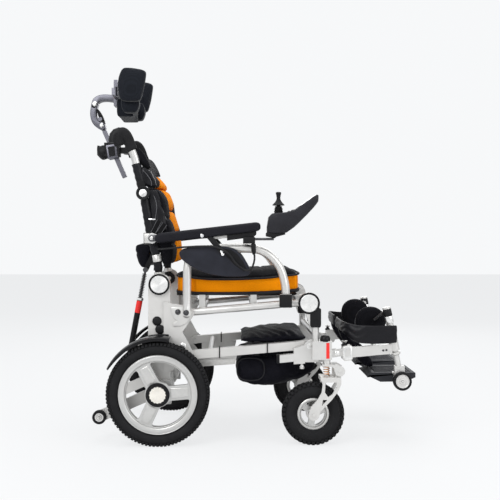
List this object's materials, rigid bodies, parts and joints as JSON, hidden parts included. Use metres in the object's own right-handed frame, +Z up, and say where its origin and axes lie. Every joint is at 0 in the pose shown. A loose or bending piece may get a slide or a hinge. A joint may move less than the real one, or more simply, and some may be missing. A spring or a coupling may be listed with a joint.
{
  "type": "folding power wheelchair",
  "caption": "Folding power wheelchair with driven rear wheels, sprung front casters, reclining back, headrest and a joystick on the right arm.",
  "frame": {"origin": "middle of the footprint's bounding box, on the floor", "axes": "+X forward, +Y to the chair's left, +Z up"},
  "size_m": [1.062, 0.606, 1.1997],
  "materials": {
    "black_fabric": "woven mesh",
    "copper_spring": "bright",
    "cream_paint": "satin",
    "dark_plastic": "fine grain",
    "grey_anodised": "satin",
    "grey_paint": "satin",
    "orange_fabric": "woven mesh",
    "silver_metal": "satin",
    "tyre_rubber": "matt"
  },
  "bodies": {
    "rear": {"rear_frame": "cream_paint", "fender_right": "dark_plastic", "motor_right": "grey_paint", "fender_left": "dark_plastic", "motor_left": "grey_paint"},
    "rails": {"lower_frame": "cream_paint", "seat_bag": "black_fabric", "under_bag": "black_fabric"},
    "front": {"front_frame": "silver_metal"},
    "seat": {"seat_frame": "silver_metal", "seat_cushion": "orange_fabric", "armrest_arch_right": "silver_metal", "side_guard_right": "dark_plastic", "armrest_arch_left": "silver_metal", "side_guard_left": "dark_plastic"},
    "back": {"back_frame": "silver_metal", "back_cushion": "black_fabric", "back_pouch": "black_fabric"},
    "upper_back": {"upper_back_cushion": "black_fabric", "upper_back_frame": "silver_metal"},
    "headrest_stem": {"headrest_stem": "grey_anodised"},
    "headrest_link": {"headrest_lower_link": "grey_anodised"},
    "headrest_head": {"headrest_upper_link": "grey_anodised", "headrest_pad": "black_fabric"},
    "headrest_lever": {"headrest_cam_lever": "dark_plastic"},
    "wing_right": {"headrest_wing_right": "black_fabric"},
    "wing_left": {"headrest_wing_left": "black_fabric"},
    "strut": {"strut_body": "dark_plastic"},
    "strut_rod": {"strut_rod": "silver_metal"},
    "arm_right": {"joystick_pod": "dark_plastic", "joystick_cable": "tyre_rubber", "arm_pad_right": "dark_plastic"},
    "stick_side": {"joystick_gimbal": "grey_paint"},
    "stick": {"joystick_knob": "dark_plastic"},
    "button": {"joystick_button": "grey_paint"},
    "rear_wheel_right": {"rear_tyre_right": "tyre_rubber", "rear_rim_right": "silver_metal"},
    "tip_wheel_right": {"anti_tip_wheel_right": "tyre_rubber"},
    "caster_head_right": {"caster_head_right": "silver_metal", "caster_spring_right": "copper_spring"},
    "caster_fork_right": {"caster_fork_right": "cream_paint"},
    "caster_wheel_right": {"caster_wheel_right": "tyre_rubber"},
    "legrest_right": {"legrest_right": "silver_metal", "calf_pad_right": "black_fabric"},
    "leg_wheel_right": {"legrest_wheel_right": "tyre_rubber"},
    "footplate_right": {"footplate_right": "dark_plastic"},
    "arm_collar_right": {"arm_collar_right": "silver_metal"},
    "rear_wheel_left": {"rear_tyre_left": "tyre_rubber", "rear_rim_left": "silver_metal"},
    "tip_wheel_left": {"anti_tip_wheel_left": "tyre_rubber"},
    "caster_head_left": {"caster_head_left": "silver_metal", "caster_spring_left": "copper_spring"},
    "caster_fork_left": {"caster_fork_left": "cream_paint"},
    "caster_wheel_left": {"caster_wheel_left": "tyre_rubber"},
    "legrest_left": {"legrest_left": "silver_metal", "calf_pad_left": "black_fabric"},
    "leg_wheel_left": {"legrest_wheel_left": "tyre_rubber"},
    "footplate_left": {"footplate_left": "dark_plastic"},
    "arm_left": {"arm_pad_left": "dark_plastic"},
    "arm_collar_left": {"arm_collar_left": "silver_metal"}
  },
  "joints": [
    {"name": "fold", "type": "hinge", "parent": "rear", "child": "rails", "pos_m": [-0.186, 0, 0.27], "axis": [0, -1, 0], "range_deg": [0, 38]},
    {"name": "front_fold", "type": "hinge", "parent": "rails", "child": "front", "pos_m": [0.194, 0, 0.303], "axis": [0, -1, 0], "range_deg": [-38, 0]},
    {"name": "seat_fold", "type": "hinge", "parent": "rear", "child": "seat", "pos_m": [-0.19, 0, 0.405], "axis": [0, -1, 0], "range_deg": [0, 38]},
    {"name": "recline", "type": "hinge", "parent": "rear", "child": "back", "pos_m": [-0.279, 0, 0.495], "axis": [0, -1, 0], "range_deg": [0, 35]},
    {"name": "upper_back_fold", "type": "hinge", "parent": "back", "child": "upper_back", "pos_m": [-0.331, 0, 0.783], "axis": [0, -1, 0], "range_deg": [0, 90]},
    {"name": "strut_swing", "type": "hinge", "parent": "rear", "child": "strut", "pos_m": [-0.385, -0.15, 0.245], "axis": [0, -1, 0], "range_deg": [0, 3]},
    {"name": "strut_slide", "type": "slide", "parent": "strut", "child": "strut_rod", "axis": [0.1845, 0, 0.9828], "range_m": [-0.039, 0]},
    {"name": "headrest_height", "type": "slide", "parent": "upper_back", "child": "headrest_stem", "axis": [-0.4002, 0, 0.9164], "range_m": [-0.038, 0.045]},
    {"name": "headrest_tilt", "type": "hinge", "parent": "headrest_stem", "child": "headrest_link", "pos_m": [-0.493, 0, 1.024], "axis": [0, -1, 0], "range_deg": [-15, 20]},
    {"name": "head_pad_tilt", "type": "hinge", "parent": "headrest_link", "child": "headrest_head", "pos_m": [-0.5165, 0, 1.097], "axis": [0, -1, 0], "range_deg": [-20, 20]},
    {"name": "headrest_cam", "type": "hinge", "parent": "headrest_link", "child": "headrest_lever", "pos_m": [-0.497, 0, 1.046], "axis": [0, -1, 0], "range_deg": [0, 50]},
    {"name": "rear_wheel_right", "type": "hinge", "parent": "rear", "child": "rear_wheel_right", "pos_m": [-0.278, -0.2745, 0.159], "axis": [0, 1, 0], "continuous": true},
    {"name": "tip_wheel_right", "type": "hinge", "parent": "rear", "child": "tip_wheel_right", "pos_m": [-0.469, -0.209, 0.075], "axis": [0, 1, 0], "continuous": true},
    {"name": "caster_swivel_right", "type": "hinge", "parent": "front", "child": "caster_head_right", "pos_m": [0.245, -0.258, 0.262], "axis": [0, 0, 1], "continuous": true},
    {"name": "caster_suspension_right", "type": "hinge", "parent": "caster_head_right", "child": "caster_fork_right", "pos_m": [0.283, -0.258, 0.23], "axis": [0, 1, 0], "range_deg": [0, 5], "stiffness_Nm_per_rad": 250, "springref_deg": -3.44, "deforming": ["caster_spring_right"]},
    {"name": "caster_roll_right", "type": "hinge", "parent": "caster_fork_right", "child": "caster_wheel_right", "pos_m": [0.202, -0.258, 0.096], "axis": [0, 1, 0], "continuous": true},
    {"name": "legrest_swing_right", "type": "hinge", "parent": "front", "child": "legrest_right", "pos_m": [0.278, -0.232, 0.28], "axis": [0, -1, 0], "range_deg": [0, 40]},
    {"name": "footplate_flip_right", "type": "hinge", "parent": "legrest_right", "child": "footplate_right", "pos_m": [0.378, -0.2188, 0.216], "axis": [1, 0, 0], "range_deg": [0, 55]},
    {"name": "leg_wheel_right", "type": "hinge", "parent": "legrest_right", "child": "leg_wheel_right", "pos_m": [0.482, -0.252, 0.194], "axis": [0, 1, 0], "continuous": true},
    {"name": "arm_lift_right", "type": "hinge", "parent": "back", "child": "arm_collar_right", "pos_m": [-0.303, -0.2215, 0.64], "axis": [0, -1, 0], "range_deg": [0, 38]},
    {"name": "arm_flip_right", "type": "hinge", "parent": "arm_collar_right", "child": "arm_right", "pos_m": [-0.303, -0.23, 0.64], "axis": [0, -1, 0], "range_deg": [0, 75]},
    {"name": "wing_swing_right", "type": "hinge", "parent": "headrest_head", "child": "wing_right", "pos_m": [-0.432, -0.104, 1.12], "axis": [0, 0, 1], "range_deg": [-20, 22]},
    {"name": "rear_wheel_left", "type": "hinge", "parent": "rear", "child": "rear_wheel_left", "pos_m": [-0.278, 0.2745, 0.159], "axis": [0, 1, 0], "continuous": true},
    {"name": "tip_wheel_left", "type": "hinge", "parent": "rear", "child": "tip_wheel_left", "pos_m": [-0.469, 0.209, 0.075], "axis": [0, 1, 0], "continuous": true},
    {"name": "caster_swivel_left", "type": "hinge", "parent": "front", "child": "caster_head_left", "pos_m": [0.245, 0.258, 0.262], "axis": [0, 0, 1], "continuous": true},
    {"name": "caster_suspension_left", "type": "hinge", "parent": "caster_head_left", "child": "caster_fork_left", "pos_m": [0.283, 0.258, 0.23], "axis": [0, 1, 0], "range_deg": [0, 5], "stiffness_Nm_per_rad": 250, "springref_deg": -3.44, "deforming": ["caster_spring_left"]},
    {"name": "caster_roll_left", "type": "hinge", "parent": "caster_fork_left", "child": "caster_wheel_left", "pos_m": [0.202, 0.258, 0.096], "axis": [0, 1, 0], "continuous": true},
    {"name": "legrest_swing_left", "type": "hinge", "parent": "front", "child": "legrest_left", "pos_m": [0.278, 0.232, 0.28], "axis": [0, -1, 0], "range_deg": [0, 40]},
    {"name": "footplate_flip_left", "type": "hinge", "parent": "legrest_left", "child": "footplate_left", "pos_m": [0.378, 0.2188, 0.216], "axis": [-1, 0, 0], "range_deg": [0, 55]},
    {"name": "leg_wheel_left", "type": "hinge", "parent": "legrest_left", "child": "leg_wheel_left", "pos_m": [0.482, 0.252, 0.194], "axis": [0, 1, 0], "continuous": true},
    {"name": "arm_lift_left", "type": "hinge", "parent": "back", "child": "arm_collar_left", "pos_m": [-0.303, 0.2215, 0.64], "axis": [0, -1, 0], "range_deg": [0, 38]},
    {"name": "arm_flip_left", "type": "hinge", "parent": "arm_collar_left", "child": "arm_left", "pos_m": [-0.303, 0.23, 0.64], "axis": [0, -1, 0], "range_deg": [0, 75]},
    {"name": "wing_swing_left", "type": "hinge", "parent": "headrest_head", "child": "wing_left", "pos_m": [-0.432, 0.104, 1.12], "axis": [0, 0, -1], "range_deg": [-20, 22]},
    {"name": "stick_side", "type": "hinge", "parent": "arm_right", "child": "stick_side", "pos_m": [0.095, -0.262, 0.7045], "axis": [1, 0, 0], "range_deg": [-15, 15], "stiffness_Nm_per_rad": 0.5},
    {"name": "stick_forward", "type": "hinge", "parent": "stick_side", "child": "stick", "pos_m": [0.095, -0.262, 0.7045], "axis": [0, 1, 0], "range_deg": [-15, 15], "stiffness_Nm_per_rad": 0.5},
    {"name": "button_press", "type": "slide", "parent": "arm_right", "child": "button", "axis": [0, 0, 1], "range_m": [-0.0015, 0], "stiffness_N_per_m": 400}
  ],
  "couplings": [
    {"joint": "front_fold", "follows": "fold", "ratio": -1},
    {"joint": "seat_fold", "follows": "fold", "ratio": 1},
    {"joint": "strut_swing", "follows": "recline", "ratio": 0.0625},
    {"joint": "strut_slide", "follows": "recline", "m_per_rad": -0.06303},
    {"joint": "arm_lift_right", "follows": "fold", "ratio": 1},
    {"joint": "arm_lift_left", "follows": "fold", "ratio": 1}
  ]
}
